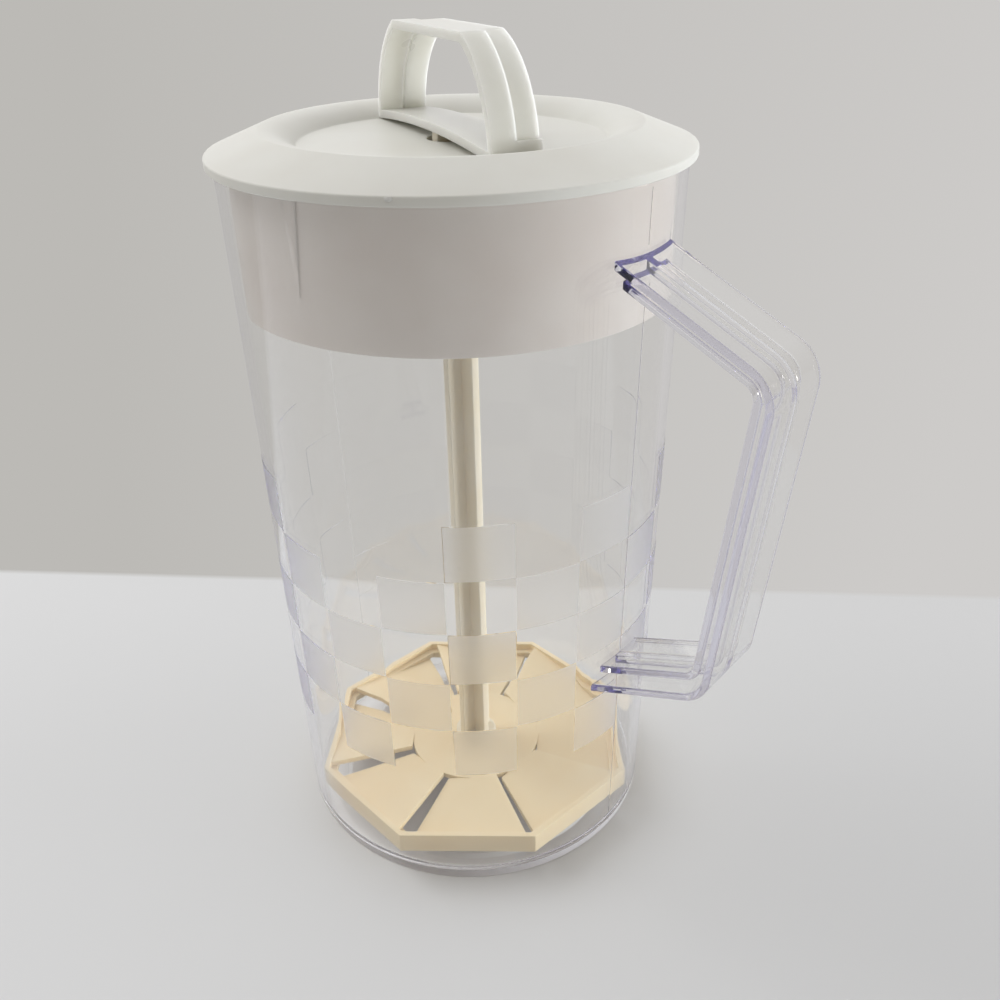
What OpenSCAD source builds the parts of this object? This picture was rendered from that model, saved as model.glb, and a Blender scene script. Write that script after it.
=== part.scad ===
// Plunger mixing pitcher: a clear tapered jug with a moulded open handle and a pouring lip, a white
// drop-in lid with a deep collar, and a plunger whose slotted plate is pumped up and down to mix.
// Millimetres, Z up. The table is z = 0, the handle points along +X and the pouring lip along -X.

/* [Jug] */
// Height from the table to the rim
jug_h = 233; // [210:1:250]
// Outer radius of the wall at the rim
jug_top_r = 67.8; // [66:0.1:70]
// Outer radius of the wall, carried straight down to the table
jug_base_r = 62.4; // [60:0.1:64]
// Wall thickness
wall_t = 2.6; // [2.2:0.1:3]
// Thickness of the floor
floor_t = 3.4; // [2.6:0.1:5]
// Outer radius of the rounded corner between wall and base
base_corner_r = 8; // [6:0.5:10]
// Width of the ring that the jug stands on
foot_w = 4; // [3:0.5:6]
// Height of the hollow inside that ring
foot_h = 1.6; // [1:0.1:2.4]

/* [Pouring lip] */
// How far the lip reaches out past the wall
lip_reach = 11; // [8:0.5:14]
// Width of the lip at the rim
lip_w = 30; // [26:1:36]
// How far down the wall the lip starts
lip_drop = 38; // [28:1:48]

/* [Handle] */
// Height at which the outer face of the upper arm meets the wall
handle_top_z = 214.5; // [205:0.5:222]
// Height at which the outer face of the lower arm meets the wall
handle_low_z = 76; // [66:0.5:90]
// How far the handle's corner stands out from the wall
handle_reach = 46.5; // [40:0.5:54]
// Fall of the upper arm, in degrees
upper_fall = 25.5; // [18:0.5:30]
// Rise of the lower arm away from the wall, in degrees
lower_rise = 21.5; // [16:0.5:28]
// Lean of the grip towards the jug, in degrees
grip_lean = 6.5; // [2:0.5:9]
// Depth of the section, from outer face to inner face
handle_d = 7.4; // [6.6:0.1:9]
// Radius of the two bends on the outer face
handle_bend_r = 12; // [10:0.5:15]
// Width of the outer flange
outer_flange_w = 27; // [22:0.5:32]
// Width of the inner flange
inner_flange_w = 20; // [15:0.5:22]
// Thickness of both flanges
flange_t = 2.4; // [1.8:0.1:3]
// Thickness of the web between them
web_t = 2.6; // [2:0.1:4]

/* [Lid] */
// Overhang of the lid past the jug's rim
lid_over = 2.2; // [1.5:0.1:4]
// Thickness of the lid at its outer edge
lid_edge_t = 2.6; // [2:0.1:3.4]
// Rise of the lid from its outer edge to the crest round the well
lid_rise = 5.9; // [4:0.1:8]
// Radius of the crest round the well
crest_r = 55.1; // [52:0.1:58]
// Radius of the flat floor of the well
well_floor_r = 44.4; // [40:0.1:47]
// Depth of the well below its crest
well_d = 4.6; // [3:0.1:6]
// Rounding of the crest
crest_round = 1; // [0.8:0.1:2.5]
// Thickness of the lid round the well
lid_t = 2; // [1.6:0.1:2.6]
// Gap between the jug's rim and the lid that rests on it
seat_gap = 0.2; // [0.1:0.05:0.4]
// Depth of the collar that hangs inside the jug
collar_h = 38.7; // [30:0.5:46]
// Thickness of the collar
collar_t = 1.8; // [1.4:0.1:2.4]
// Gap between the collar's lower edge and the jug wall
collar_gap = 0.5; // [0.4:0.05:1]
// Gap between the collar's top and the jug wall
collar_top_gap = 1; // [0.9:0.05:1.4]
// Number of wedge ribs that centre the collar
collar_rib_n = 3; // [2:1:4]
// Width of a wedge rib at its top
collar_rib_w = 4.8; // [3:0.2:7]
// Length of a wedge rib
collar_rib_l = 26; // [18:1:29]
// Gap between a wedge rib and the jug wall
collar_rib_gap = 0.35; // [0.3:0.05:0.6]
// Number of pouring slots in the collar behind the lip
pour_slot_n = 5; // [3:1:6]
// Width of a pouring slot
pour_slot_w = 3; // [2:0.5:4]
// Height of a pouring slot
pour_slot_h = 24; // [16:1:28]
// Length of the tube that guides the rod under the lid
guide_l = 12; // [8:1:18]
// Wall of that tube
guide_t = 1.8; // [1.4:0.1:2.4]

/* [Stir plate] */
// Gap between the plate's corners and the jug wall
plate_gap = 0.6; // [0.4:0.1:2]
// Height of the lowered plate above the jug floor
plate_lift = 5.8; // [1:0.2:8]
// Height of the rim round the plate
plate_rim_h = 7.4; // [6.6:0.2:10]
// Thickness of that rim
plate_rim_t = 1.8; // [1.4:0.1:2.6]
// Width of the ledge inside the rim
plate_ledge_w = 2.4; // [1.5:0.1:4]
// Radius of the round middle of the plate
plate_mid_r = 24.5; // [18:0.5:28]
// Thickness of the blades and of the middle
blade_t = 2; // [1.6:0.1:2.6]
// Tilt of each blade, in degrees
blade_tilt = 6.5; // [3:0.5:7]
// Width of a slot at its inner end
slot_in_w = 2; // [1.2:0.1:3]
// Width of a slot at its outer end
slot_out_w = 4.4; // [3:0.1:6]
// Turn of the plate and rod from the handle, in degrees
plate_turn = -7; // [-22:1:22]

/* [Rod] */
// Width of the cross-shaped rod from tip to tip
rod_w = 13; // [10:0.5:16]
// Thickness of each arm of the cross
rod_t = 2.5; // [2:0.1:3.5]
// Gap between the rod and its guide
rod_gap = 0.6; // [0.4:0.1:1]
// Overhang of the round foot past the cross
rod_foot_over = 1.4; // [0.8:0.1:3]
// Height of the round foot on the plate
rod_foot_h = 2.6; // [2:0.1:4]

/* [Loop grip] */
// Length of the loop at its feet
loop_l = 88.2; // [78:0.2:92]
// Height of the loop above the well floor
loop_h = 29.6; // [25:0.1:34]
// Radius of the bowed legs
leg_bow_r = 32.5; // [30:0.1:40]
// Width of the band
band_w = 14.4; // [11:0.2:18]
// Thickness of the band
band_t = 2.4; // [2:0.1:3]
// Step between the two halves of the band
band_step = 1.8; // [1:0.1:1.9]
// Height of the feet below the stepped half
loop_foot_h = 5; // [2:0.1:7]
// Thickness of the strip that joins the legs
strip_t = 2.4; // [1.8:0.1:3.2]
// Rise of the strip at its middle
strip_rise = 2.2; // [1:0.1:3]
// Gap between the loop's feet and the well floor
loop_gap = 0.3; // [0.2:0.05:0.6]
// Turn of the loop from the handle, in degrees
loop_turn = -26; // [-60:1:60]

/* [Hidden] */
$fn = 96;
// Steps in each drawn arc
arc_steps = 8;
// Overlap of two halves that meet face to face
eps = 0.01;
// Depth to which a shape is sunk into one that it joins
bury = 0.6;
// Reach of a cutting shape past the face that it cuts
cut = 1;

// Jug wall: outer radius, inner radius and lean
wall_lean = (jug_top_r - jug_base_r) / jug_h;
wall_slant = sqrt(1 + wall_lean * wall_lean);
function jug_r(z) = jug_base_r + wall_lean * z;
floor_z = foot_h + floor_t;
inner_corner_r = base_corner_r - wall_t;
outer_corner_x = jug_r(base_corner_r) - base_corner_r * wall_slant;
inner_corner_x = jug_r(floor_z + inner_corner_r) - wall_t - inner_corner_r * wall_slant;

// Inner radius of the jug at height z, with the rounded corner at the floor
function jug_in_r(z) =
    z - floor_z >= inner_corner_r
    ? jug_r(z) - wall_t
    : inner_corner_x + sqrt(pow(inner_corner_r, 2) - pow(inner_corner_r - (z - floor_z), 2));

// Pouring lip: an upright cone whose point is buried in the wall
lip_x = jug_top_r + lip_reach - lip_w / 2;
lip_low_r = jug_r(jug_h - lip_drop) - bury - lip_x;
lip_spread = (lip_w / 2 - lip_low_r) / lip_drop;
lip_point_z = jug_h - (lip_w / 2 - wall_t) / lip_spread;

// Handle: corners of its outer face and the centres of its bends, in the XZ plane
handle_start = [jug_r(handle_top_z), handle_top_z];
handle_end = [jug_r(handle_low_z), handle_low_z];
upper_normal = [sin(upper_fall), cos(upper_fall)];
grip_normal = [cos(grip_lean), -sin(grip_lean)];
lower_normal = [sin(lower_rise), -cos(lower_rise)];
upper_corner = handle_start + [handle_reach, -handle_reach * tan(upper_fall)];
lower_run = ((upper_corner - handle_end) * grip_normal) / ([cos(lower_rise), sin(lower_rise)] * grip_normal);
lower_corner = handle_end + lower_run * [cos(lower_rise), sin(lower_rise)];
upper_bend = bend_centre(upper_corner, upper_normal, grip_normal);
lower_bend = bend_centre(lower_corner, grip_normal, lower_normal);

// Length by which the arms run on into the wall before they are cut back to its face
handle_root = 5;

// Lid: heights, and the sloping wall of the well, which runs straight between the rounded crest and a
// cove of about half the radius at which crest and cove would touch
lid_z = jug_h + seat_gap;
lid_r = jug_top_r + lid_over;
crest_z = lid_z + lid_edge_t + lid_rise;
well_z = crest_z - well_d;
well_wall_w = crest_r - well_floor_r;
both_rounds = (pow(well_wall_w, 2) + pow(well_d, 2)) / (4 * well_d);
cove_r = both_rounds - crest_round;
round_drop = well_d - both_rounds;
well_slope = atan2(round_drop, well_wall_w) + asin(both_rounds / norm([well_wall_w, round_drop]));
lid_slope = atan(lid_rise / (lid_r - crest_r));

// Collar: its outer radius at both ends, and the ribs that fill the gap to the jug wall
collar_z = lid_z - collar_h;
collar_r = jug_in_r(collar_z) - collar_gap;
collar_top_r = jug_in_r(jug_h) - collar_top_gap;
collar_rib_turn = -86;
pour_slot_pitch = 2 * pour_slot_w;
pour_slot_top = 6;

// Plunger: heights of its pieces when it is pushed right down
plate_z = floor_z + plate_lift;
plate_r = jug_in_r(plate_z) - plate_gap;
plate_sides = 8;
half_side = 180 / plate_sides;
plate_apothem = plate_r * cos(half_side);
blade_z = plate_rim_h / 2;
rod_foot_z = plate_z + blade_z + blade_t / 2;
rod_r = rod_w / 2;
guide_r = norm([rod_r, rod_t / 2]) + rod_gap;
loop_z = well_z + loop_gap;
loop_top_z = well_z + loop_h;
leg_bow_x = loop_l / 2 - leg_bow_r;
strip_z = loop_z + strip_rise;
rod_top_z = strip_low(rod_r + rod_t);

// Points on an arc round centre c, from angle a0 to angle a1
function arc(c, r, a0, a1) =
    [for (i = [0 : arc_steps]) let (a = a0 + (a1 - a0) * i / arc_steps) c + r * [cos(a), sin(a)]];

// Centre of a bend that touches two faces with these outward normals
function bend_centre(corner, n0, n1) = corner - handle_bend_r * (n0 + n1) / (1 + n0 * n1);

// Line along the handle at depth d below its outer face, from the upper root to the lower one
function handle_line(d) = concat(
    [handle_start - d * upper_normal - handle_root * [cos(upper_fall), -sin(upper_fall)]],
    arc(upper_bend, handle_bend_r - d, 90 - upper_fall, -grip_lean),
    arc(lower_bend, handle_bend_r - d, -grip_lean, lower_rise - 90),
    [handle_end - d * lower_normal - handle_root * [cos(lower_rise), sin(lower_rise)]]);

function reversed(list) = [for (i = [len(list) - 1 : -1 : 0]) list[i]];

// Underside of the loop's arched strip at distance x from the middle
function strip_low(x) = strip_z - strip_rise * pow(x / (loop_l / 2), 2);

// Jug

module jug_outside() {
    rotate_extrude()
        polygon(concat(
            [[0, foot_h], [outer_corner_x - foot_w - foot_h, foot_h], [outer_corner_x - foot_w, 0]],
            arc([outer_corner_x, base_corner_r], base_corner_r, -90, -atan(wall_lean)),
            [[jug_top_r, jug_h], [0, jug_h]]));
}

module jug_inside() {
    over = 5;
    rotate_extrude()
        polygon(concat(
            [[0, floor_z]],
            arc([inner_corner_x, floor_z + inner_corner_r], inner_corner_r, -90, -atan(wall_lean)),
            [[jug_r(jug_h + over) - wall_t, jug_h + over], [0, jug_h + over]]));
}

module lip_outside() {
    translate([-lip_x, 0, jug_h - lip_drop])
        cylinder(h = lip_drop, r1 = lip_low_r, r2 = lip_w / 2);
}

module lip_inside() {
    over = 2;
    translate([-lip_x, 0, lip_point_z])
        cylinder(h = jug_h + over - lip_point_z, r1 = 0, r2 = (jug_h + over - lip_point_z) * lip_spread);
}

module pitcher_body() {
    color([0.85, 0.85, 0.92, 0.4])
        difference() {
            union() {
                jug_outside();
                lip_outside();
            }
            jug_inside();
            lip_inside();
        }
}

// Strip of the handle between depths d0 and d1, w wide
module handle_strip(d0, d1, w) {
    rotate([90, 0, 0])
        linear_extrude(height = w, center = true)
            polygon(concat(handle_line(d0), reversed(handle_line(d1))));
}

module pitcher_handle() {
    color([0.82, 0.82, 0.92, 0.5])
        difference() {
            union() {
                handle_strip(0, flange_t, outer_flange_w);
                handle_strip(handle_d - flange_t, handle_d, inner_flange_w);
                handle_strip(0, handle_d, web_t);
            }
            cylinder(h = jug_h, r1 = jug_base_r, r2 = jug_top_r);
        }
}

// Lid

module lid_shell() {
    cove_c = [well_floor_r, well_z + cove_r];
    crest_c = [crest_r, crest_z - crest_round];
    crest_under = crest_z - lid_t / cos((well_slope + lid_slope) / 2);
    inner_r = collar_top_r - collar_t;
    slope_under = lid_z + lid_edge_t + (lid_r - inner_r) * tan(lid_slope) - lid_t / cos(lid_slope);
    rotate_extrude()
        polygon(concat(
            [[guide_r, well_z]],
            arc(cove_c, cove_r, -90, well_slope - 90),
            arc(crest_c, crest_round, 90 + well_slope, 90 - lid_slope),
            [[lid_r, lid_z + lid_edge_t], [lid_r, lid_z], [inner_r, lid_z], [inner_r, slope_under]],
            [[crest_r, crest_under]],
            arc(cove_c, cove_r + lid_t, well_slope - 90, -90),
            [[guide_r, well_z - lid_t]]));
}

module lid_top() {
    color([0.93, 0.93, 0.91])
        union() {
            lid_shell();
            translate([0, 0, well_z - lid_t - guide_l])
                difference() {
                    cylinder(h = guide_l + lid_t / 2, r = guide_r + guide_t);
                    translate([0, 0, -cut])
                        cylinder(h = guide_l + lid_t + cut, r = guide_r);
                }
        }
}

// Round band of the collar between two radii at its lower edge and two at its top
module collar_ring(low_in, low_out, top_in, top_out) {
    rotate_extrude()
        polygon([[low_in, collar_z], [low_out, collar_z], [top_out, lid_z], [top_in, lid_z]]);
}

module collar_ribs() {
    rib_reach = jug_in_r(lid_z) - collar_rib_gap;
    intersection() {
        collar_ring(collar_r - collar_t / 2, collar_r, collar_top_r - collar_t / 2, rib_reach);
        for (i = [0 : collar_rib_n - 1])
            rotate([0, 0, collar_rib_turn + i * 360 / collar_rib_n])
                rotate([90, 0, 90])
                    linear_extrude(height = jug_top_r)
                        polygon([
                            [-collar_rib_w / 2, lid_z],
                            [collar_rib_w / 2, lid_z],
                            [0, lid_z - collar_rib_l]]);
    }
}

module pour_slots() {
    for (i = [0 : pour_slot_n - 1])
        rotate([0, 0, 180 + (i - (pour_slot_n - 1) / 2) * pour_slot_pitch / collar_r * 180 / PI])
            translate([collar_r - 2 * collar_t, -pour_slot_w / 2, lid_z - pour_slot_top - pour_slot_h])
                cube([4 * collar_t, pour_slot_w, pour_slot_h]);
}

module lid_collar() {
    color([0.91, 0.9, 0.89])
        difference() {
            union() {
                collar_ring(collar_r - collar_t, collar_r, collar_top_r - collar_t, collar_top_r);
                collar_ribs();
            }
            pour_slots();
        }
}

// Plunger

module octagon_prism(apothem, h) {
    rotate([0, 0, half_side])
        cylinder(h = h, r = apothem / cos(half_side), $fn = plate_sides);
}

module octagon_ring(apothem, t, h) {
    difference() {
        octagon_prism(apothem, h);
        translate([0, 0, -cut])
            octagon_prism(apothem - t, h + 2 * cut);
    }
}

// One tilted blade, cut back from its neighbours by half a slot on each side
module blade() {
    x0 = plate_mid_r - bury;
    x1 = plate_apothem - plate_rim_t + bury;
    y0 = x0 * tan(half_side) - slot_in_w / 2 / cos(half_side);
    y1 = x1 * tan(half_side) - slot_out_w / 2 / cos(half_side);
    intersection() {
        linear_extrude(height = plate_rim_h)
            polygon([[x0, -y0], [x1, -y1], [x1, y1], [x0, y0]]);
        translate([0, 0, blade_z])
            rotate([blade_tilt, 0, 0])
                translate([0, -plate_r, -blade_t / 2])
                    cube([plate_r, 2 * plate_r, blade_t]);
    }
}

module stir_plate() {
    ledge_t = plate_rim_t / 2 + plate_ledge_w;
    color([0.91, 0.83, 0.68])
        translate([0, 0, plate_z])
            rotate([0, 0, plate_turn])
                union() {
                    octagon_ring(plate_apothem, plate_rim_t, plate_rim_h);
                    translate([0, 0, blade_z - blade_t / 2]) {
                        octagon_ring(plate_apothem - plate_rim_t / 2, ledge_t, blade_t);
                        cylinder(h = blade_t, r = plate_mid_r);
                    }
                    for (i = [0 : plate_sides - 1])
                        rotate([0, 0, i * 2 * half_side])
                            blade();
                }
}

module plunger_rod() {
    color([0.9, 0.86, 0.76])
        rotate([0, 0, plate_turn])
            union() {
                translate([0, 0, rod_foot_z])
                    cylinder(h = rod_foot_h, r = rod_r + rod_foot_over);
                translate([0, 0, rod_foot_z + rod_foot_h / 2])
                    linear_extrude(height = rod_top_z - rod_foot_z - rod_foot_h / 2)
                        union() {
                            square([rod_w, rod_t], center = true);
                            square([rod_t, rod_w], center = true);
                        }
            }
}

// Outline inside the bowed legs, drawn in by d, between two heights
module loop_outline(d, z0, z1) {
    intersection() {
        union() {
            for (side = [-1, 1])
                translate([side * leg_bow_x, loop_z])
                    circle(r = leg_bow_r - d);
            translate([-leg_bow_x, z0])
                square([2 * leg_bow_x, z1 - z0]);
        }
        translate([-loop_l, z0])
            square([2 * loop_l, z1 - z0]);
    }
}

// Arched strip between the legs, as tall as it is at the feet
module strip_outline() {
    reach = loop_l / 2;
    steps = 2 * arc_steps;
    xs = [for (i = [0 : steps]) reach * (2 * i / steps - 1)];
    polygon(concat(
        [for (x = xs) [x, strip_low(x) + strip_t]],
        reversed([for (x = xs) [x, strip_low(x)]])));
}

// Half of the band from y0 to y1, drawn in by d
module band_half(y0, y1, d) {
    translate([0, y1, 0])
        rotate([90, 0, 0])
            linear_extrude(height = y1 - y0)
                union() {
                    difference() {
                        loop_outline(d, loop_z, loop_top_z);
                        loop_outline(d + band_t, loop_z - cut, loop_top_z - band_t);
                    }
                    intersection() {
                        loop_outline(d + band_t / 2, loop_z, loop_top_z);
                        strip_outline();
                    }
                }
}

// Feet that carry the stepped half of the band out flush with the other half
module loop_feet() {
    translate([0, band_w / 2, 0])
        rotate([90, 0, 0])
            linear_extrude(height = band_w / 2 + eps)
                difference() {
                    loop_outline(0, loop_z, loop_z + loop_foot_h);
                    loop_outline(band_step + band_t / 2, loop_z - cut, loop_z + loop_foot_h + cut);
                }
}

module plunger_grip() {
    color([0.94, 0.93, 0.89])
        rotate([0, 0, loop_turn])
            union() {
                band_half(-band_w / 2, eps, 0);
                band_half(0, band_w / 2, band_step);
                loop_feet();
            }
}

pitcher_body();
pitcher_handle();
lid_top();
lid_collar();
stir_plate();
plunger_rod();
plunger_grip();
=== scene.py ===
# %% [markdown]
# # A plunger mixing pitcher
# The part is a clear tapered jug with a white drop-in lid. A plunger runs through the lid: a loop grip on
# top, a cross-shaped rod, and a slotted plate that stirs the drink. The solids are already in place in the
# frame that is loaded here, so this lesson only dresses them: smooth clear plastic for the jug, and the
# satin finish of the mouldings inside it.

# %% Load the frame
import math

import bmesh
import bpy
from mathutils import Matrix, Vector


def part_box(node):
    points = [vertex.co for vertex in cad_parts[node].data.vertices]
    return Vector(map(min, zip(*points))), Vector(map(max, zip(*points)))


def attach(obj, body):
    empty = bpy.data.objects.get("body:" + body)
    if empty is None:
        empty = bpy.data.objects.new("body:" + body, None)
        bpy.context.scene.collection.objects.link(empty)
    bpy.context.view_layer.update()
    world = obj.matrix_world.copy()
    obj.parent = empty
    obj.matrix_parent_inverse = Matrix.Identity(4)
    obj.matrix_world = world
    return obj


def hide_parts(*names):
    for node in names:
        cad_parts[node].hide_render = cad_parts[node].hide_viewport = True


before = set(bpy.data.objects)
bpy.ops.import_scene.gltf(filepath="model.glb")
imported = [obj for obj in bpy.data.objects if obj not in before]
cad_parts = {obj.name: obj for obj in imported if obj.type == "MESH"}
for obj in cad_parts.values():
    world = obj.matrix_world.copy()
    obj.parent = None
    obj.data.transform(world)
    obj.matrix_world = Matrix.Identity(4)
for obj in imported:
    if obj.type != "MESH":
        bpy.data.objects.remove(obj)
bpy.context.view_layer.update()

print("solids:", sorted(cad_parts))

# %% [markdown]
# ## Profiles and the lathe
# Sizes are written in millimetres, as they are on a drawing, and Blender works in metres. A lathe turns a
# profile into a round piece with the spin operator, which is how a mould for such a piece is turned too.
# Spin leaves doubled points on the axis and at the seam, so they are merged before the faces are pointed
# outwards.

# %% Lathe
MM = 0.001
same_point = 0.001 * MM


def arc(centre, radius, start, end, steps=10):
    """Points on an arc, angles in degrees."""
    angles = [math.radians(start + (end - start) * i / steps) for i in range(steps + 1)]
    return [(centre[0] + radius * math.cos(a), centre[1] + radius * math.sin(a)) for a in angles]


def lathe(profile, steps, closed):
    """Spin a profile of (radius, height) points in millimetres round the Z axis."""
    bm = bmesh.new()
    points = [bm.verts.new((r * MM, 0, z * MM)) for r, z in profile]
    pairs = list(zip(points, points[1:]))
    if closed:
        pairs.append((points[-1], points[0]))
    edges = [bm.edges.new(pair) for pair in pairs]
    bmesh.ops.spin(
        bm, geom=points + edges, cent=(0, 0, 0), axis=(0, 0, 1),
        angle=2 * math.pi, steps=steps, use_merge=True)
    bmesh.ops.remove_doubles(bm, verts=bm.verts, dist=same_point)
    bmesh.ops.recalc_face_normals(bm, faces=bm.faces)
    return bm


# %% [markdown]
# ## Rounded edges
# No edge of a moulding is perfectly sharp. A bevel of three segments gives each chosen edge its small
# radius. Where bevels meet in little room Blender narrows them, which can leave slivers, faces with almost
# no area, so these are merged away.

# %% Edges
sliver = 0.002 * MM


def sharp_edges(bm, angle):
    """Edges between two faces that turn by more than an angle in degrees."""
    limit = math.radians(angle)
    return [e for e in bm.edges if len(e.link_faces) == 2 and e.calc_face_angle() > limit]


def round_edges(bm, edges, radius):
    """Bevel edges with a radius in millimetres."""
    bmesh.ops.bevel(
        bm, geom=edges, offset=radius * MM, offset_type="OFFSET", affect="EDGES",
        segments=3, profile=0.5, material=-1, clamp_overlap=True)
    bmesh.ops.remove_doubles(bm, verts=bm.verts, dist=sliver)
    bmesh.ops.dissolve_degenerate(bm, edges=bm.edges, dist=sliver)


# %% [markdown]
# ## Finished pieces
# A finished piece rides on a body of the frame and stands for the solids that it replaces, which it hides.
# It is shaded smooth, except at creases. Weighted normals then let the large faces rule: a wall keeps its
# plain shading right up to a rounded edge, and only the small faces of that edge bend the light. It matters
# most on clear plastic, where a false normal also refracts falsely.

# %% Pieces
crease_angle = math.radians(28)


def finish_piece(name, bm, materials, body, nodes):
    """Turn a bmesh into a piece that rides on a body and stands for CAD nodes."""
    mesh = bpy.data.meshes.new(name)
    bm.to_mesh(mesh)
    bm.free()
    for face in mesh.polygons:
        face.use_smooth = True
    mesh.set_sharp_from_angle(angle=crease_angle)
    for material in materials:
        mesh.materials.append(material)
    piece = bpy.data.objects.new(name, mesh)
    bpy.context.scene.collection.objects.link(piece)
    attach(piece, body)
    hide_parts(*nodes)
    print(name, len(mesh.polygons), "faces")
    return piece


def weigh_normals(piece):
    """Let large faces rule the shading, so that a rounded edge bends no light beside it."""
    mesh = piece.data
    name = mesh.name
    weights = piece.modifiers.new("weights", "WEIGHTED_NORMAL")
    weights.keep_sharp = True
    graph = bpy.context.evaluated_depsgraph_get()
    piece.data = bpy.data.meshes.new_from_object(
        piece.evaluated_get(graph), preserve_all_data_layers=True, depsgraph=graph)
    piece.modifiers.clear()
    bpy.data.meshes.remove(mesh)
    piece.data.name = name


# %% [markdown]
# ## Finishes
# Every piece is injection-moulded plastic. Colours are written as sRGB hex values and turned to linear
# ones by a single function. A second small function adds a shader node, sets its values and links its
# inputs, so that each material below reads as a short list.

# %% Material helpers
def linear(code):
    """Linear RGBA of an sRGB hex colour such as 'D8D8D0'."""
    channels = [int(code[i:i + 2], 16) / 255 for i in (0, 2, 4)]
    return [c / 12.92 if c <= 0.04045 else ((c + 0.055) / 1.055) ** 2.4 for c in channels] + [1.0]


def add(tree, kind, inputs=None, **settings):
    """Add a node, set its properties and give each named input a value or a link."""
    node = tree.nodes.new(kind)
    for key, value in settings.items():
        setattr(node, key, value)
    for key, value in (inputs or {}).items():
        if isinstance(value, bpy.types.NodeSocket):
            tree.links.new(value, node.inputs[key])
        else:
            node.inputs[key].default_value = value
    return node


def blank_material(name):
    """A material with an empty node tree, and that tree."""
    material = bpy.data.materials.new(name)
    material.use_nodes = True
    material.node_tree.nodes.clear()
    return material, material.node_tree


# %% [markdown]
# ## White and cream polypropylene
# The lid and the plunger are opaque polypropylene with a satin, faintly pebbled skin from the mould. Age
# has warmed the plunger to cream, unevenly. Two noise patterns carry that: a broad one, about 30 mm wide,
# drifts between two shades, and a fine one gives the skin its grain. A real grain is mostly finer than a
# pixel of the picture, so it is drawn at 0.5 mm, coarse enough to show. The walls are only about 2 mm thick,
# so light scatters right through them: that is the subsurface part, and the slender grip has most of it.

# %% Satin plastic
polypropylene_ior = 1.49
# Levels of the broad noise at which the stain is full and at which it has gone
stain_below = 0.3
shade_above = 0.62
rough_drift = 0.05
pebble_strength = 0.12
pebble_height = 0.05
scatter_shares = (1.0, 1.0, 0.95)


def satin_plastic(name, shade, stain, roughness, glow, grain=0.5, drift=30, scatter=3.0):
    """Moulded plastic that drifts between two shades; grain, drift and scatter are in millimetres."""
    material, tree = blank_material(name)
    place = add(tree, "ShaderNodeTexCoord").outputs["Object"]
    broad = add(tree, "ShaderNodeTexNoise", {"Vector": place, "Scale": 1 / (drift * MM), "Detail": 3.0})
    fine = add(tree, "ShaderNodeTexNoise", {"Vector": place, "Scale": 1 / (grain * MM), "Detail": 2.0})
    colour = add(tree, "ShaderNodeValToRGB", {"Fac": broad.outputs["Fac"]})
    colour.color_ramp.elements[0].position = stain_below
    colour.color_ramp.elements[0].color = linear(stain)
    colour.color_ramp.elements[1].position = shade_above
    colour.color_ramp.elements[1].color = linear(shade)
    rough = add(tree, "ShaderNodeMapRange", {
        "Value": broad.outputs["Fac"], "To Min": roughness - rough_drift, "To Max": roughness + rough_drift})
    bump = add(tree, "ShaderNodeBump", {
        "Height": fine.outputs["Fac"], "Strength": pebble_strength, "Distance": pebble_height * MM})
    skin = add(tree, "ShaderNodeBsdfPrincipled", {
        "Base Color": colour.outputs["Color"], "Roughness": rough.outputs["Result"],
        "Normal": bump.outputs["Normal"], "IOR": polypropylene_ior, "Subsurface Weight": glow,
        "Subsurface Radius": scatter_shares, "Subsurface Scale": scatter * MM})
    add(tree, "ShaderNodeOutputMaterial", {"Surface": skin.outputs["BSDF"]})
    return material


lid_white = satin_plastic("polypropylene_white_lid", "DCDCD6", "D7D6CF", roughness=0.42, glow=0.3)
# The collar is the same white moulding as the lid, given a darker, browner copy of its white: painted shade
# for the collar under the lid.
shaded_collar_white = satin_plastic("polypropylene_white_collar_painted_shade", "DAD4CE", "D4CCC5", roughness=0.5, glow=0.3)
grip_white = satin_plastic(
    "polypropylene_white_grip", "D1D1CB", "CCCBC3", roughness=0.3, glow=0.9, scatter=10.0)
rod_cream = satin_plastic("polypropylene_cream_rod", "E6DFCF", "E2D6B9", roughness=0.42, glow=0.3)
plate_cream = satin_plastic("polypropylene_cream_plate", "ECDAB6", "E8D2AA", roughness=0.45, glow=0.3)
print("satin plastics:", [m.name for m in (lid_white, shaded_collar_white, grip_white, rod_cream, plate_cream)])

# %% [markdown]
# ## Clear styrene plastic
# The jug is clear styrene-acrylonitrile, with an index of refraction of 1.57. Its surface is polished by
# the mould, with faint handling haze. A trace of blue-violet dye hides the resin's own yellow: it is
# invisible through the thin wall and shows where light travels along the handle, so it is an absorption
# inside the plastic and not a surface colour. The squares are the same plastic with a spark-eroded mould
# texture, whose grit is drawn at 0.6 mm, coarse enough to show.
#
# A number on each face, called frost, says how strong that texture is: 0 on the polished wall, 1 on the
# squares and far more on the coarse underside of the foot. It makes a face rougher and gritty, and a
# growing share of the light is scattered instead of passing through. Squares on the far side of the jug
# hardly show through it, so where light meets a face from within the plastic only a quarter of the frost
# counts. With a number for each face the jug keeps one material and one closed body of dyed plastic.

# %% Clear plastic
styrene_ior = 1.57
haze_size = 8.0
# Levels of the noise between which the haze sets in, and how many times rougher it is
haze_from = 0.45
haze_full = 0.75
haze_times = 3
grit_size = 0.6
grit_strength = 0.5
grit_height = 0.04
inside_share = 0.25
# The frost at which only the least share of light still passes straight into the plastic
full_frost = 8.0
least_clear = 0.2
square_frost = 1.0
coarse_frost = full_frost / inside_share


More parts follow.
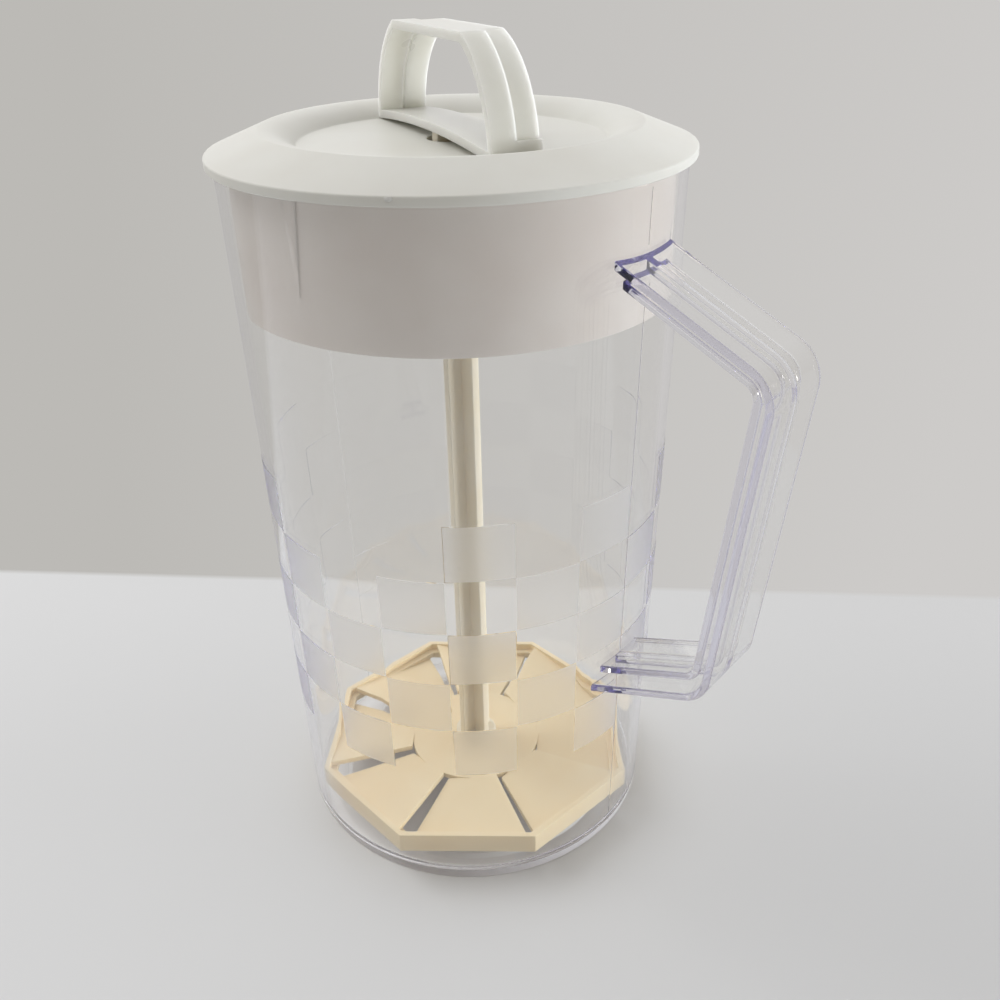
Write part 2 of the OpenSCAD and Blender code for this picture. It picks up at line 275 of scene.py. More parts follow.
def clear_plastic(name, polished, frosted, tint, dye_shade, dye_density):
    """Clear dyed plastic with a roughness where it is polished and one where it is frosted."""
    material, tree = blank_material(name)
    place = add(tree, "ShaderNodeTexCoord").outputs["Object"]
    mark = add(tree, "ShaderNodeAttribute", attribute_name="frost").outputs["Fac"]
    inside = add(tree, "ShaderNodeNewGeometry").outputs["Backfacing"]
    share = add(tree, "ShaderNodeMapRange", {"Value": inside, "To Min": 1.0, "To Max": inside_share})
    scaled = add(tree, "ShaderNodeMath", {0: mark, 1: share.outputs["Result"]}, operation="MULTIPLY")
    frost = scaled.outputs["Value"]
    haze = add(tree, "ShaderNodeTexNoise", {"Vector": place, "Scale": 1 / (haze_size * MM), "Detail": 4.0})
    grit = add(tree, "ShaderNodeTexNoise", {"Vector": place, "Scale": 1 / (grit_size * MM), "Detail": 2.0})
    handled = add(tree, "ShaderNodeMapRange", {
        "Value": haze.outputs["Fac"], "From Min": haze_from, "From Max": haze_full,
        "To Min": polished, "To Max": polished * haze_times})
    rough = add(tree, "ShaderNodeMapRange", {
        "Value": frost, "To Min": handled.outputs["Result"], "To Max": frosted}, clamp=False)
    clear = add(tree, "ShaderNodeMapRange", {
        "Value": frost, "From Min": 0.0, "From Max": full_frost, "To Min": 1.0, "To Max": least_clear})
    depth = add(tree, "ShaderNodeMath", {
        0: grit.outputs["Fac"], 1: frost}, operation="MULTIPLY", use_clamp=True)
    bump = add(tree, "ShaderNodeBump", {
        "Height": depth.outputs["Value"], "Strength": grit_strength, "Distance": grit_height * MM})
    skin = add(tree, "ShaderNodeBsdfPrincipled", {
        "Base Color": linear(tint), "Roughness": rough.outputs["Result"], "IOR": styrene_ior,
        "Transmission Weight": clear.outputs["Result"], "Normal": bump.outputs["Normal"]})
    dye = add(tree, "ShaderNodeVolumeAbsorption", {"Color": linear(dye_shade), "Density": dye_density})
    add(tree, "ShaderNodeOutputMaterial", {"Surface": skin.outputs["BSDF"], "Volume": dye.outputs["Volume"]})
    return material


clear_styrene = clear_plastic(
    "styrene_clear_moulded", polished=0.015, frosted=0.3, tint="FEFEFC",
    dye_shade="D2CEEF", dye_density=17.0)
print("clear plastic:", clear_styrene.name)

# %% [markdown]
# ## The jug wall
# The wall is a straight taper with a rounded base, a hollow foot and a rounded rim. That is a round piece,
# so it starts as a lathe profile that runs along the outside, over the rim and down the inside. The points
# of the outside lie where the rows of squares will begin and end.

# %% Jug sizes
jug_height = 233.0
rim_r = 67.8
base_r = 62.4
wall = 2.6
floor_top = 5.0
foot_hollow = 1.6
foot_width = 4.0
corner_r = 8.0
rim_round = 0.8
columns = 20
rows = 5
row_height = 18.6
rows_from = 53.0
steps_per_column = 8

lean = (rim_r - base_r) / jug_height
lean_angle = math.degrees(math.atan(lean))
slant = math.sqrt(1 + lean * lean)


def wall_r(z):
    """Outer radius of the wall at a height."""
    return base_r + lean * z


# %% Jug profile
corner_steps = 16
rim_steps = 10
upper_rings = 8
inner_rings = 12
inner_from = 4.0
inner_margin = 40.0

inner_corner_r = corner_r - wall
outer_corner_x = wall_r(corner_r) - corner_r * slant
inner_corner_z = floor_top + inner_corner_r
inner_corner_x = wall_r(inner_corner_z) - wall - inner_corner_r * slant
row_heights = [rows_from + i * row_height for i in range(rows + 1)]
upper_span = jug_height - row_heights[-1]
upper_heights = [row_heights[-1] + upper_span * i / upper_rings for i in range(1, upper_rings)]
inner_span = jug_height - inner_margin
inner_heights = [jug_height - inner_from - i * inner_span / inner_rings for i in range(inner_rings)]

jug_profile = [(0, foot_hollow), (outer_corner_x - foot_width - foot_hollow, foot_hollow)]
jug_profile += [(outer_corner_x - foot_width, 0)]
jug_profile += arc((outer_corner_x, corner_r), corner_r, -90, -lean_angle, corner_steps)
jug_profile += [(wall_r(z), z) for z in row_heights + upper_heights]
jug_profile += arc((rim_r - rim_round, jug_height - rim_round), rim_round, 0, 90, rim_steps)
jug_profile += arc((rim_r - wall + rim_round, jug_height - rim_round), rim_round, 90, 180, rim_steps)
jug_profile += [(wall_r(z) - wall, z) for z in inner_heights]
jug_profile += arc((inner_corner_x, inner_corner_z), inner_corner_r, -lean_angle, -90, corner_steps)
jug_profile += [(0, floor_top)]
jug = lathe(jug_profile, columns * steps_per_column, closed=False)
print("jug profile points:", len(jug_profile))

# %% [markdown]
# ## The pouring lip
# The lip stands opposite the handle. Its shape is part of a leaning cone: at the rim a circle that reaches
# out beyond the wall, and further down a smaller one that is lost inside it. Every point of the wall that
# the cone overtakes is moved outwards onto the cone. For the inner face the cone is smaller by the wall's
# thickness, so the lip keeps an even wall.

# %% Pouring lip
lip_reach = 11.0
lip_half = 15.0
lip_drop = 38.0
lip_sink = 0.6
lip_centre = rim_r + lip_reach - lip_half
lip_low = wall_r(jug_height - lip_drop) - lip_sink - lip_centre


def lip_radius(angle, z, inset):
    """Distance from the axis to the lip's cone, or 0 beside it."""
    cone = lip_low + (lip_half - lip_low) * (z - jug_height + lip_drop) / lip_drop - inset
    across = lip_centre * math.sin(angle)
    if cone <= abs(across) or math.cos(angle) < 0:
        return 0.0
    return lip_centre * math.cos(angle) + math.sqrt(cone * cone - across * across)


moved = 0
for vert in jug.verts:
    radius = math.hypot(vert.co.x, vert.co.y) / MM
    height = vert.co.z / MM
    angle = math.atan2(vert.co.y, -vert.co.x)
    depth = min(max(wall_r(height) - radius, 0), wall)
    reach = lip_radius(angle, height, depth)
    if height > jug_height - lip_drop and reach > radius:
        vert.co.xy *= reach / radius
        moved += 1
print("points drawn out into the lip:", moved)

# %% [markdown]
# ## The frosted squares
# The checkerboard round the lower half of the wall is twenty columns and five rows of raised frosted
# squares. The spin has eight steps to a column and the profile a point at each row, so every square is a
# patch of whole faces, and insetting a patch with a little depth raises it. One square of the top row, at
# the front left, is left plain. Until jug and handle are joined, a material index marks the faces of the
# squares and of their narrow borders.

# %% Frosted squares
square_raise = 0.045
square_edge = 0.2
# Row, counted from the bottom, and column, counted from the handle
plain_square = (4, -5)
FROSTED = 1
BORDER = 2

squares = {}
for face in jug.faces:
    middle = face.calc_center_median()
    height = middle.z / MM
    faces_out = face.normal.xy.dot(middle.xy) > 0
    on_outside = faces_out and math.hypot(middle.x, middle.y) / MM > wall_r(height) - wall / 2
    row = math.floor((height - rows_from) / row_height)
    column = math.floor(math.degrees(math.atan2(middle.y, middle.x)) * columns / 360)
    frosted = (row + column) % 2 == 1 and (row, column) != plain_square
    if on_outside and 0 <= row < rows and frosted:
        squares.setdefault((row, column), []).append(face)

for patch in squares.values():
    inset = bmesh.ops.inset_region(
        jug, faces=patch, thickness=square_edge * MM, depth=square_raise * MM, use_even_offset=True)
    for face in patch:
        face.material_index = FROSTED
    for face in inset["faces"]:
        face.material_index = BORDER
print("frosted squares:", len(squares))

# %% [markdown]
# ## The handle
# The handle is an I-section: a wide outer flange, a narrower inner one and a web between. The section is
# drawn once at the upper root and then swept by operators: extruded along each straight arm and spun round
# the centre of each bend. Its two ends are slid along the arms until they lie inside the wall, and a
# boolean union then makes jug and handle the single moulding that they are.

# %% Handle sizes
handle_top = 214.5
handle_low = 76.0
handle_reach = 46.5
upper_fall = math.radians(25.5)
lower_rise = math.radians(21.5)
grip_lean = math.radians(6.5)
handle_depth = 7.4
bend_r = 12.0
outer_flange = 27.0
inner_flange = 20.0
flange_thick = 2.4
web = 2.6

upper_way = Vector((math.cos(upper_fall), 0, -math.sin(upper_fall)))
grip_way = Vector((-math.sin(grip_lean), 0, -math.cos(grip_lean)))
lower_way = Vector((-math.cos(lower_rise), 0, -math.sin(lower_rise)))
sideways = Vector((0, 1, 0))


def outward(way):
    """Outward normal of the handle's outer face where it runs this way."""
    return way.cross(sideways)


start = Vector((wall_r(handle_top), 0, handle_top))
end = Vector((wall_r(handle_low), 0, handle_low))
upper_corner = start + upper_way * (handle_reach / upper_way.x)
along = (upper_corner - end).dot(outward(grip_way)) / (-lower_way).dot(outward(grip_way))
lower_corner = end - lower_way * along


def bend_centre(corner, way_in, way_out):
    """Centre of the bend that touches both outer faces."""
    total = outward(way_in) + outward(way_out)
    return corner - total * (bend_r / (1 + outward(way_in).dot(outward(way_out))))


upper_bend = bend_centre(upper_corner, upper_way, grip_way)
lower_bend = bend_centre(lower_corner, grip_way, lower_way)
print("handle corners:", upper_corner.to_tuple(1), lower_corner.to_tuple(1))

# %% Handle section
flange_cuts = 6

handle = bmesh.new()
half = [
    (outer_flange / 2, 0), (outer_flange / 2, flange_thick), (web / 2, flange_thick),
    (web / 2, handle_depth - flange_thick), (inner_flange / 2, handle_depth - flange_thick),
    (inner_flange / 2, handle_depth)]
outline = half + [(-across, depth) for across, depth in reversed(half)]
inward = -outward(upper_way)
ring = [handle.verts.new((start + sideways * across + inward * depth) * MM) for across, depth in outline]
ring_edges = [handle.edges.new(pair) for pair in zip(ring, ring[1:] + ring[:1])]
wide = [e for e in ring_edges if e.calc_length() > handle_depth * MM]
bmesh.ops.subdivide_edges(handle, edges=wide, cuts=flange_cuts)
first_ring = list(handle.verts)
last = list(handle.edges)
print("points of the section:", len(first_ring))

# %% Sweep the handle
bend_steps = 12


def extrude_to(edges, shift):
    """Extrude a ring of edges by a shift in millimetres and return the new ring."""
    grown = bmesh.ops.extrude_edge_only(handle, edges=edges)["geom"]
    verts = [g for g in grown if isinstance(g, bmesh.types.BMVert)]
    bmesh.ops.translate(handle, verts=verts, vec=shift * MM)
    return [g for g in grown if isinstance(g, bmesh.types.BMEdge)]


def spin_round(edges, centre, turn):
    """Spin a ring of edges round a bend and return the new ring."""
    verts = list({v for e in edges for v in e.verts})
    spun = bmesh.ops.spin(
        handle, geom=verts + edges, cent=centre * MM, axis=sideways, angle=turn, steps=bend_steps)
    return [g for g in spun["geom_last"] if isinstance(g, bmesh.types.BMEdge)]


upper_turn = upper_way.angle(grip_way)
lower_turn = grip_way.angle(lower_way)
last = extrude_to(last, upper_way * (upper_bend - start).dot(upper_way))
last = spin_round(last, upper_bend, upper_turn)
last = extrude_to(last, grip_way * (lower_bend - upper_bend).dot(grip_way))
last = spin_round(last, lower_bend, lower_turn)
last = extrude_to(last, lower_way * (end - lower_bend).dot(lower_way))
last_ring = list({v for e in last for v in e.verts})
print("handle faces:", len(handle.faces))

# %% Seat the handle on the wall
root_sink = 1.3
slide_rounds = 6
flange_corner = 60
handle_rounding = 0.5


def slide_to_wall(verts, way):
    """Slide the points of an end along its arm until they lie just inside the wall's face."""
    for vert in verts:
        for _ in range(slide_rounds):
            spot = vert.co / MM
            error = wall_r(spot.z) - root_sink - math.hypot(spot.x, spot.y)
            vert.co += way * (error / way.x * MM)


slide_to_wall(first_ring, upper_way)
slide_to_wall(last_ring, lower_way)
round_edges(handle, sharp_edges(handle, flange_corner), handle_rounding)
bmesh.ops.holes_fill(handle, edges=[e for e in handle.edges if e.is_boundary], sides=0)
bmesh.ops.recalc_face_normals(handle, faces=handle.faces)
print("handle closed:", all(e.is_manifold for e in handle.edges))

# %% [markdown]
# ## The mould seam
# The two halves of the mould part in the plane of the handle and leave a fine upright ridge on the wall,
# above, between and below the roots of the handle, and on the far side up to the lip. Each length of ridge
# is a thin three-sided bar that is half sunk in the wall, and the union takes it in with the handle.

# %% Mould seam
seam_half = 0.3
seam_raise = 0.16
seam_sink = 0.5
root_clear = 2.0


def add_seam(side, low, high):
    """Add a ridge on the +X side (1) or the -X side (-1) between two heights."""
    base = []
    for out, across in [(-seam_sink, -seam_half), (seam_raise, 0), (-seam_sink, seam_half)]:
        corner = (side * (wall_r(low) + out) * MM, across * MM, low * MM)
        base.append(handle.verts.new(corner))
    foot = handle.faces.new(base)
    grown = bmesh.ops.extrude_face_region(handle, geom=[foot], use_keep_orig=True)["geom"]
    top = [g for g in grown if isinstance(g, bmesh.types.BMVert)]
    bmesh.ops.translate(handle, verts=top, vec=Vector((side * lean, 0, 1)) * (high - low) * MM)


upper_under = handle_top - (handle_depth + root_clear) / math.cos(upper_fall)
lower_over = handle_low + (handle_depth + root_clear) / math.cos(lower_rise)
add_seam(1, corner_r, handle_low - root_clear)
add_seam(1, lower_over, upper_under)
add_seam(1, handle_top + root_clear, jug_height - 2 * rim_round)
add_seam(-1, corner_r, jug_height - lip_drop - root_clear)
bmesh.ops.recalc_face_normals(handle, faces=handle.faces)
print("handle and seam closed:", all(e.is_manifold for e in handle.edges))

# %% [markdown]
# ## One moulding
# The union takes handle and seam into the jug. It keeps the material index of each face, so the jug has
# three slots of the same plastic while it is joined, and afterwards the index still tells wall, square and
# border apart. Edges between these stay crisp, and so do edges that turn by more than 40 degrees. Then each
# face gets its frost number, and the two spare slots are taken away again.

# %% Join jug and handle
jug_piece = finish_piece(
    "jug", jug, [clear_styrene] * 3, "pitcher", ["pitcher_body", "pitcher_handle"])
handle_mesh = bpy.data.meshes.new("handle_tool")
handle.to_mesh(handle_mesh)
handle.free()
handle_mesh.materials.append(clear_styrene)
handle_tool = bpy.data.objects.new("handle_tool", handle_mesh)
bpy.context.scene.collection.objects.link(handle_tool)
union = jug_piece.modifiers.new("handle", "BOOLEAN")
union.operation = "UNION"
union.solver = "EXACT"
union.object = handle_tool
graph = bpy.context.evaluated_depsgraph_get()
joined = bpy.data.meshes.new_from_object(jug_piece.evaluated_get(graph))
jug_piece.modifiers.clear()
jug_piece.data = joined
bpy.data.objects.remove(handle_tool)
print("jug with handle:", len(joined.polygons), "faces")

# %% Keep the crisp edges
crisp_angle = math.radians(40)

crisp = bmesh.new()
crisp.from_mesh(joined)
for edge in crisp.edges:
    kinds = {face.material_index for face in edge.link_faces}
    edge.smooth = len(kinds) == 1 and edge.calc_face_angle(0) < crisp_angle
crisp.to_mesh(joined)
print("crisp edges:", sum(1 for edge in crisp.edges if not edge.smooth))
crisp.free()

# %% Mark the frosted faces
# Height of the normal below which a face of the foot belongs to its underside
facing_down = -0.6

marks = joined.attributes.new("frost", "FLOAT", "FACE")
for face in joined.polygons:
    underneath = face.normal.z < facing_down and face.center.z < corner_r * MM
    if underneath:
        marks.data[face.index].value = coarse_frost
    elif face.material_index == FROSTED:
        marks.data[face.index].value = square_frost
    face.material_index = 0
    face.use_smooth = True
while len(joined.materials) > 1:
    joined.materials.pop(index=len(joined.materials) - 1)
print("frosted faces:", sum(1 for mark in marks.data if mark.value > 0))
weigh_normals(jug_piece)

# %% [markdown]
# ## Light through the clear wall
# A path tracer finds lamps behind clear plastic only by chance, which leaves the inside dark and grainy. The
# wall loses so little light that the jug is made open to shadow rays and to diffuse light: the mouldings
# inside are lit as if it were not there, while the camera still sees it refract and reflect.

# %% Let light in
jug_piece.visible_shadow = False
jug_piece.visible_diffuse = False
print("the jug casts no shadow:", not jug_piece.visible_shadow)

# %% [markdown]
# ## The lid
# The lid's top is turned too: a thin rounded edge, a gentle slope up to a crest, and one arc that rolls from
# the crest down to the flat floor of the well. The arc is level at the crest, and its turn follows from the
# depth of the well and the run of its wall. The underside keeps roughly the lid's thickness with a straight
# slope and a cove, and ends in the tube that guides the rod.

# %% Lid sizes
lid_edge_r = 70.0
lid_edge = 2.6
lid_rise = 5.9
crest_r = 55.1
well_floor_r = 44.4
well_depth = 4.6
crest_round = 1.0
lid_thick = 2.0
guide_hole = 7.22
guide_wall = 1.8
guide_length = 12.0
collar_inner = 62.4

lid_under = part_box("lid_top")[1][2] / MM - lid_rise - lid_edge
crest_z = lid_under + lid_edge + lid_rise
well_z = crest_z - well_depth
guide_low = well_z - lid_thick - guide_length
wall_run = crest_r - well_floor_r
roll_turn = 2 * math.atan(well_depth / wall_run)
roll_r = wall_run / math.sin(roll_turn)
print("slope at the foot of the well's wall:", round(math.degrees(roll_turn), 1), "degrees")

# %% Underside of the lid
both_rounds = (wall_run ** 2 + well_depth ** 2) / (4 * well_depth)
round_drop = well_depth - both_rounds
cove_r = both_rounds - crest_round
cove_centre = (well_floor_r, well_z + cove_r)
round_gap = math.hypot(wall_run, round_drop)
well_slope = math.atan2(round_drop, wall_run) + math.asin(both_rounds / round_gap)
cove_start = math.degrees(well_slope) - 90
slope = math.atan(lid_rise / (lid_edge_r - crest_r))
slope_run = lid_edge_r - collar_inner
slope_under = lid_under + lid_edge + slope_run * math.tan(slope) - lid_thick / math.cos(slope)
crest_under = crest_z - lid_thick / math.cos((well_slope + slope) / 2)
print("cove under the well, radius:", round(cove_r + lid_thick, 1))

# %% Turn the lid
lid_steps = 192
roll_steps = 14
lid_corner = 40
lid_rounding = 0.4

lid_profile = [(guide_hole, well_z)]
lid_profile += arc((crest_r, crest_z - roll_r), roll_r, 90 + math.degrees(roll_turn), 90, roll_steps)
lid_profile += [(lid_edge_r, lid_under + lid_edge), (lid_edge_r, lid_under)]
lid_profile += [(collar_inner, lid_under), (collar_inner, slope_under), (crest_r, crest_under)]
lid_profile += arc(cove_centre, cove_r + lid_thick, cove_start, -90)
lid_profile += [(guide_hole + guide_wall, well_z - lid_thick), (guide_hole + guide_wall, guide_low)]
lid_profile += [(guide_hole, guide_low)]
lid = lathe(lid_profile, lid_steps, closed=True)
round_edges(lid, sharp_edges(lid, lid_corner), lid_rounding)
print("lid profile points:", len(lid_profile))

# %% [markdown]
# ## The gate mark
# A small lump on the lid's edge, near the front, shows where the plastic was let into the mould. It is a
# ball that is flattened and half sunk in the edge.

# %% Gate mark
gate_bearing = math.radians(-60.3)
gate_height = 0.8 * lid_edge
gate_half = Vector((0.5, 1.0, 0.7))

gate_turn = Matrix.Rotation(gate_bearing, 4, "Z")
gate_place = Matrix.Translation(Vector((lid_edge_r, 0, lid_under + gate_height)) * MM)
gate_size = Matrix.Diagonal(gate_half * MM).to_4x4()
bmesh.ops.create_icosphere(lid, subdivisions=2, radius=1, matrix=gate_turn @ gate_place @ gate_size)
weigh_normals(finish_piece("lid", lid, [lid_white], "lid", ["lid_top"]))

# %% [markdown]
# ## Collar, rod and plate
# These pieces have the right shape already, down to the tilt of the blades. A copy of each solid has its
# loose triangles merged back into faces, and its edges get the small radius that every moulding has,
# because a perfectly sharp edge catches no light. The centring ribs of the collar taper away to nothing,
# where a bevel has no room, so the collar is rounded only along its lower rim and in its pouring slots.

# %% Pieces from the solids
corner_angle = 35
solid_weld = 0.03 * MM
flat_angle = math.radians(0.4)


def from_solid(node):
    """A copy of a CAD solid with its triangles merged into faces."""
    bm = bmesh.new()
    bm.from_mesh(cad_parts[node].data)
    bmesh.ops.remove_doubles(bm, verts=bm.verts, dist=solid_weld)
    bmesh.ops.dissolve_limit(bm, angle_limit=flat_angle, verts=bm.verts, edges=bm.edges)
    return bm


def any_edge(edge):
    """Choose every edge."""
    return True


def dress(name, node, rounding, material, body, choose=any_edge):
    """Make a piece from a solid with its chosen corners rounded alike."""
    bm = from_solid(node)
    corners = [edge for edge in sharp_edges(bm, corner_angle) if choose(edge)]
    round_edges(bm, corners, rounding)
    weigh_normals(finish_piece(name, bm, [material], body, [node]))


# %% Dress the collar, rod and plate
collar_low, collar_high = (corner[2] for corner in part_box("lid_collar"))
rim_zone = 1.0 * MM
slots_beyond = -60.0 * MM


def off_the_ribs(edge):
    """Whether an edge of the collar is on its lower rim or in a pouring slot."""
    on_rim = all(vert.co.z < collar_low + rim_zone for vert in edge.verts)
    in_slot = all(vert.co.x < slots_beyond and vert.co.z < collar_high - rim_zone for vert in edge.verts)
    return on_rim or in_slot


# The collar wears the darker, browner white that is painted shade.
dress("collar", "lid_collar", 0.2, shaded_collar_white, "lid", off_the_ribs)
dress("rod", "plunger_rod", 0.35, rod_cream, "plunger")
dress("plate", "stir_plate", 0.45, plate_cream, "plunger")

# %% [markdown]
# ## The loop grip
# The borders of the band are well rounded, because fingers close round them, and the step between the two
# halves of the band is crisper. So the borders are bevelled first: they are the edges that lie in the two
# side faces, which are half a band's width away from the loop's middle plane.

# %% Grip
grip_turn = math.radians(-26)
band_half = 7.2
side_share = 0.98
border_round = 0.8
step_round = 0.25

grip_across = Vector((-math.sin(grip_turn), math.cos(grip_turn), 0))
grip = from_solid("plunger_grip")
borders = [
    edge for edge in sharp_edges(grip, corner_angle)
    if all(abs(vert.co.dot(grip_across)) > side_share * band_half * MM for vert in edge.verts)]
print("borders to round:", len(borders), "edges")
round_edges(grip, borders, border_round)
round_edges(grip, sharp_edges(grip, corner_angle), step_round)
weigh_normals(finish_piece("grip", grip, [grip_white], "plunger", ["plunger_grip"]))

# %% [markdown]
# ## Camera
# The camera stands in front of the pitcher, a little to the handle's side, and looks down at it from about
# 29 degrees. It was fitted to the round outlines of lid, collar and base. Its own axes are worked out from
# pitch, yaw and roll, and then turned round the pitcher's axis.

# %% Camera
camera_out = 309.4
camera_up = 288.4
camera_turn = math.radians(42.3)
camera_pitch = math.radians(28.872)
camera_yaw = math.radians(2.127)
camera_roll = math.radians(-1.232)
focal_share = 1.03
sensor_width = 36.0

camera_data = bpy.data.cameras.new("camera")
camera_data.sensor_width = sensor_width
camera_data.lens = sensor_width * focal_share
camera_data.clip_start = 0.01
camera = bpy.data.objects.new("camera", camera_data)
bpy.context.scene.collection.objects.link(camera)
turn = Matrix.Rotation(camera_turn, 4, "Z")
place = Matrix.Translation(Vector((0, -camera_out, camera_up)) * MM)
look = Matrix.Rotation(-camera_yaw, 4, "Z") @ Matrix.Rotation(math.pi / 2 - camera_pitch, 4, "X")
roll = Matrix.Rotation(camera_roll, 4, "Z")
camera.matrix_world = turn @ place @ look @ roll
bpy.context.scene.camera = camera
print("camera at", [round(v, 3) for v in camera.matrix_world.translation])

# %% [markdown]
# ## Floor
# A pale table carries the shadow. It lies a tenth of a millimetre below the foot, so that no two faces
# coincide. Behind the pitcher, and from 0.7 to 1.4 m away on every side, the table gives way to a plain
# backdrop that runs slowly from one grey to another. The camera, reflections and the clear plastic show the
# backdrop as it is written. For all other light the table goes on, so the part is lit evenly from below.

# %% Floor
floor_size = 30.0
floor_gap = 0.1

floor_bm = bmesh.new()
bmesh.ops.create_grid(floor_bm, x_segments=1, y_segments=1, size=floor_size / 2)
bmesh.ops.translate(floor_bm, verts=floor_bm.verts, vec=(0, 0, -floor_gap * MM))
floor_mesh = bpy.data.meshes.new("floor")
floor_bm.to_mesh(floor_mesh)
floor_bm.free()
floor = bpy.data.objects.new("floor", floor_mesh)
bpy.context.scene.collection.objects.link(floor)
print("floor", floor_size, "m across")

# %% Where the table ends
backdrop_turn = math.radians(125.2)
backdrop_from = 126.0
backdrop_soft = 2.0
table_from = 0.7
table_to = 1.4

floor_material, tree = blank_material("pale_floor")
spot = add(tree, "ShaderNodeTexCoord").outputs["Object"]
turned = add(tree, "ShaderNodeMapping", {"Vector": spot, "Rotation": (0, 0, -backdrop_turn)})
depth = add(tree, "ShaderNodeSeparateXYZ", {"Vector": turned.outputs["Vector"]})
behind = add(tree, "ShaderNodeMapRange", {
    "Value": depth.outputs["X"], "From Min": (backdrop_from - backdrop_soft) * MM,
    "From Max": (backdrop_from + backdrop_soft) * MM})
distance = add(tree, "ShaderNodeVectorMath", {0: spot}, operation="LENGTH")
far = add(tree, "ShaderNodeMapRange", {
    "Value": distance.outputs["Value"], "From Min": table_from, "From Max": table_to})
beyond = add(tree, "ShaderNodeMath", {
    0: behind.outputs["Result"], 1: far.outputs["Result"]}, operation="MAXIMUM")
print("backdrop from", backdrop_from, "mm behind the axis")

# %% Table and backdrop
backdrop_spread = 0.45

paths = add(tree, "ShaderNodeLightPath")
seen = add(tree, "ShaderNodeMath", {
    0: paths.outputs["Is Camera Ray"], 1: paths.outputs["Is Transmission Ray"]}, operation="MAXIMUM")
shown = add(tree, "ShaderNodeMath", {
    0: seen.outputs["Value"], 1: paths.outputs["Is Glossy Ray"]}, operation="MAXIMUM")
plain = add(tree, "ShaderNodeMath", {
    0: beyond.outputs["Value"], 1: shown.outputs["Value"]}, operation="MULTIPLY")
table = add(tree, "ShaderNodeBsdfDiffuse", {"Color": linear("D2D3D4")})
away = add(tree, "ShaderNodeMath", {0: depth.outputs["X"], 1: camera_out * MM}, operation="ADD")
aside = add(tree, "ShaderNodeMath", {0: depth.outputs["Y"], 1: away.outputs["Value"]}, operation="DIVIDE")
across = add(tree, "ShaderNodeMapRange", {
    "Value": aside.outputs["Value"], "From Min": -backdrop_spread, "From Max": backdrop_spread})
shade = add(tree, "ShaderNodeValToRGB", {"Fac": across.outputs["Result"]})
shade.color_ramp.elements[0].color = linear("CDCBC9")
shade.color_ramp.elements[1].color = linear("BCBAB6")
backdrop = add(tree, "ShaderNodeEmission", {"Color": shade.outputs["Color"], "Strength": 1.0})
surface = add(tree, "ShaderNodeMixShader", {
    "Fac": plain.outputs["Value"], 1: table.outputs["BSDF"], 2: backdrop.outputs["Emission"]})
add(tree, "ShaderNodeOutputMaterial", {"Surface": surface.outputs["Shader"]})
floor_mesh.materials.append(floor_material)
print("floor material:", floor_material.name)

# %% [markdown]
# ## Light
# The light is a soft dome that is bright above and behind the pitcher and dim in front of it. The camera and
# the clear plastic see a calmer dome, so that no edge of the jug turns white or black. Reflections also see
# one small bright pane, low on the right, which gives the bends of the handle their glints. The pane and the
# lamps are placed by a bearing from the camera, counted to the right, and a height, both in degrees.

# %% Dome
# Cosine of the angle to the brightest point at which the dome is dimmest
dimmest_facing = -0.65
# Strength at the dimmest and at the brightest point
dome_levels = (0.06, 1.08)
calm_levels = (0.3, 0.64)


def heading(bearing, height):
    """Unit vector to a bearing from the camera, counted to the right, and a height, both in degrees."""
    turn = camera_turn - math.pi / 2 + math.radians(bearing)
    rise = math.radians(height)
    return Vector((math.cos(turn) * math.cos(rise), math.sin(turn) * math.cos(rise), math.sin(rise)))


world = bpy.data.worlds.new("soft_dome")
bpy.context.scene.world = world
world.use_nodes = True
world.node_tree.nodes.clear()
tree = world.node_tree
to_back = Vector((-math.sin(camera_turn), math.cos(camera_turn), 0))
brightest = (to_back + Vector((0, 0, 1))).normalized()
way = add(tree, "ShaderNodeTexCoord").outputs["Generated"]
facing = add(tree, "ShaderNodeVectorMath", {0: way, 1: brightest}, operation="DOT_PRODUCT")
side = add(tree, "ShaderNodeMapRange", {
    "Value": facing.outputs["Value"], "From Min": dimmest_facing, "From Max": 1.0})
hue = add(tree, "ShaderNodeValToRGB", {"Fac": side.outputs["Result"]})
hue.color_ramp.elements[0].color = linear("FFF6EC")
hue.color_ramp.elements[1].color = linear("FEFEFF")
level = add(tree, "ShaderNodeMapRange", {
    "Value": side.outputs["Result"], "To Min": dome_levels[0], "To Max": dome_levels[1]})
calm = add(tree, "ShaderNodeMapRange", {
    "Value": side.outputs["Result"], "To Min": calm_levels[0], "To Max": calm_levels[1]})
paths = add(tree, "ShaderNodeLightPath")
seen = add(tree, "ShaderNodeMath", {
    0: paths.outputs["Is Camera Ray"], 1: paths.outputs["Is Transmission Ray"]}, operation="MAXIMUM")
strength = add(tree, "ShaderNodeMix", {
    "Factor": seen.outputs["Value"], "A": level.outputs["Result"], "B": calm.outputs["Result"]})
print("dome brightest towards", brightest.to_tuple(2))

# %% Pane
pane_way = heading(bearing=96, height=3)
# The pane fades out between 4 and 5 degrees from its middle
pane_full = math.cos(math.radians(4))
pane_edge = math.cos(math.radians(5))
pane_level = 6.0

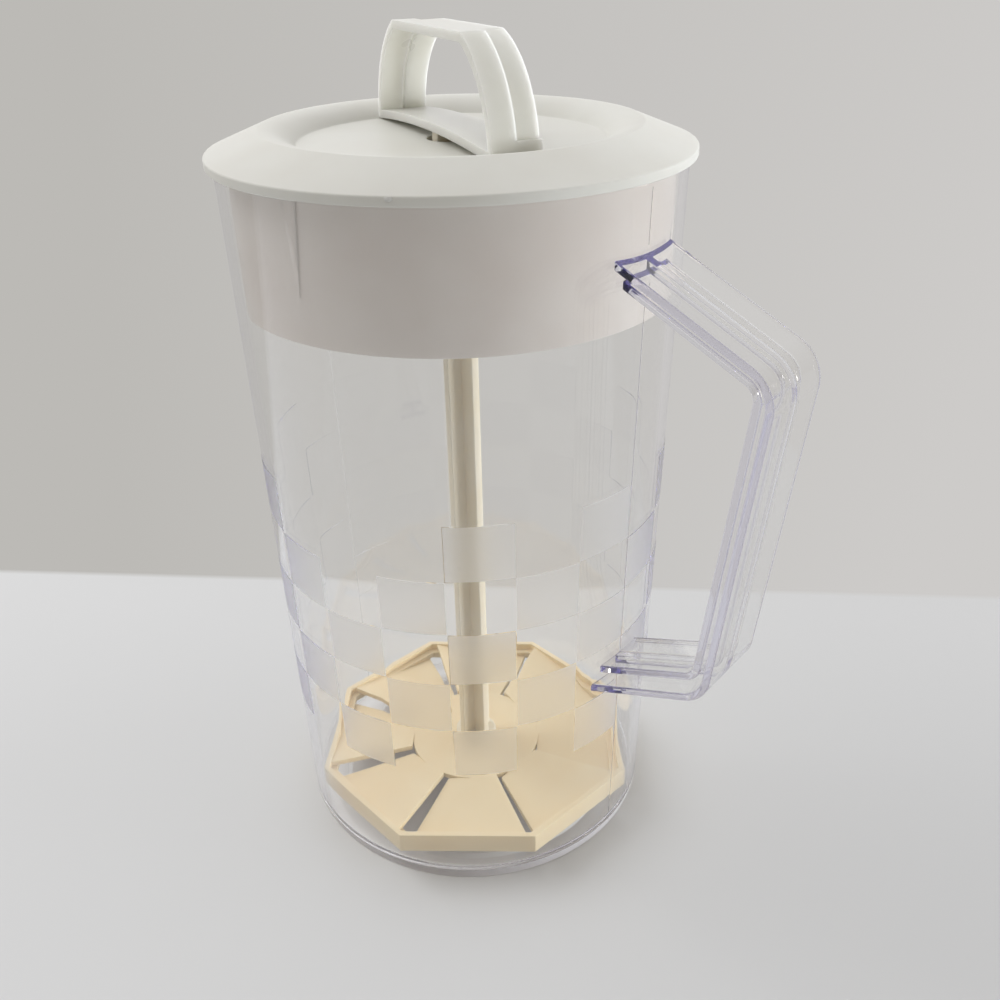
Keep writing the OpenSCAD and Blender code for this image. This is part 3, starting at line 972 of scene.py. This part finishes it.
pane_facing = add(tree, "ShaderNodeVectorMath", {0: way, 1: pane_way}, operation="DOT_PRODUCT")
pane = add(tree, "ShaderNodeMapRange", {
    "Value": pane_facing.outputs["Value"], "From Min": pane_edge, "From Max": pane_full,
    "To Max": pane_level})
glint = add(tree, "ShaderNodeMath", {
    0: pane.outputs["Result"], 1: paths.outputs["Is Glossy Ray"]}, operation="MULTIPLY")
total = add(tree, "ShaderNodeMath", {
    0: strength.outputs["Result"], 1: glint.outputs["Value"]}, operation="ADD")
dome = add(tree, "ShaderNodeBackground", {
    "Color": hue.outputs["Color"], "Strength": total.outputs["Value"]})
add(tree, "ShaderNodeOutputWorld", {"Surface": dome.outputs["Background"]})
print("pane towards", pane_way.to_tuple(2))

# %% [markdown]
# ## Lamps
# Two large lamps give the mouldings their shape: one high on the left and a little behind, and one on the
# right that is low, wide and slightly cool, like a window. Reflections and the clear plastic don't show
# them, because the handle would gather them into white patches.

# %% Lamps
aim = Vector((0, 0, 0.12))


def add_lamp(name, bearing, height, distance, width, tall, watts, shade):
    """Add a soft rectangular lamp, in metres and watts, that faces the pitcher."""
    data = bpy.data.lights.new(name, "AREA")
    data.shape = "RECTANGLE"
    data.size = width
    data.size_y = tall
    data.energy = watts
    data.color = linear(shade)[:3]
    lamp = bpy.data.objects.new(name, data)
    bpy.context.scene.collection.objects.link(lamp)
    reach = heading(bearing, height) * distance
    lamp.location = aim + reach
    lamp.rotation_euler = reach.to_track_quat("Z", "Y").to_euler()
    lamp.visible_glossy = False
    lamp.visible_transmission = False
    print(name, "at", lamp.location.to_tuple(2))


add_lamp(
    "left_window", bearing=-118, height=42, distance=1.6, width=1.1, tall=1.1, watts=11.0, shade="FFFFFF")
add_lamp(
    "right_window", bearing=88, height=1, distance=2.5, width=1.6, tall=0.3, watts=54.0, shade="F6FAFF")

# %% [markdown]
# ## Light paths
# Inside the handle light is reflected from face to face many times before it leaves. A path that is cut
# short comes back black, so more bounces are allowed than for an opaque scene.

# %% Light paths
bounces = 128

cycles = bpy.context.scene.cycles
cycles.max_bounces = bounces
cycles.transmission_bounces = bounces
cycles.glossy_bounces = bounces
print("bounces:", cycles.max_bounces)

# %% [markdown]
# ## Standard view
# The picture is shown with the plain Standard view.

# %% Standard view
bpy.context.scene.view_settings.view_transform = "Standard"
bpy.context.view_layer.update()
